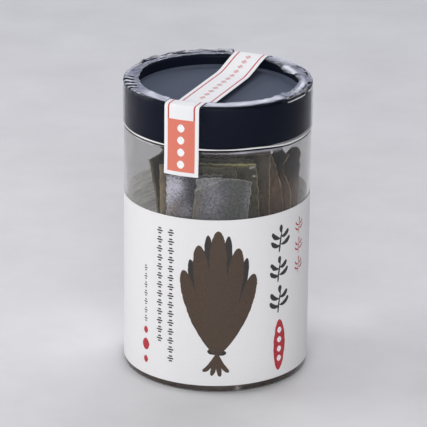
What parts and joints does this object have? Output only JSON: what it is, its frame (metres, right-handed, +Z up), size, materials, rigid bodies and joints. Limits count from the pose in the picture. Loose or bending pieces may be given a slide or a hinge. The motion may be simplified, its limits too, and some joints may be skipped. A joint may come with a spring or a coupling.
{
  "type": "jar of dried kelp sheets",
  "caption": "Sealed clear jar of upright dried kelp sheets, with a black screw cap, paper label, shrink band and paper seal strip.",
  "frame": {"origin": "middle of the jar's base, on the surface it stands on", "axes": "+Z up along the jar's axis, -Y towards the front, where the printed tail of the seal strip hangs"},
  "size_m": [0.0858, 0.0858, 0.137],
  "materials": {
    "clear_plastic": "clear blow-moulded plastic",
    "black_plastic": "satin blue-black moulded plastic",
    "shrink_film": "clear crinkled heat-shrink film",
    "label_paper": "coated white paper with a printed design",
    "strip_paper": "coated white paper with a coral field and thin red lines",
    "kelp_bloomed": "dry leathery kelp with a whitish bloom",
    "kelp_olive": "dry leathery dark olive kelp",
    "kelp_brown": "dry leathery brown kelp"
  },
  "bodies": {
    "root": {"jar": "clear_plastic", "cap": "black_plastic", "shrink_band": "shrink_film", "label": "label_paper", "seal_strip": "strip_paper", "kelp_01": "kelp_bloomed", "kelp_02": "kelp_bloomed", "kelp_03": "kelp_olive", "kelp_04": "kelp_olive", "kelp_05": "kelp_olive", "kelp_06": "kelp_brown", "kelp_07": "kelp_brown", "kelp_08": "kelp_brown", "kelp_09": "kelp_brown", "kelp_10": "kelp_olive", "kelp_11": "kelp_olive", "kelp_12": "kelp_brown", "kelp_13": "kelp_olive", "kelp_14": "kelp_bloomed", "kelp_15": "kelp_olive", "kelp_16": "kelp_bloomed", "kelp_17": "kelp_olive", "kelp_18": "kelp_brown"}
  },
  "joints": []
}
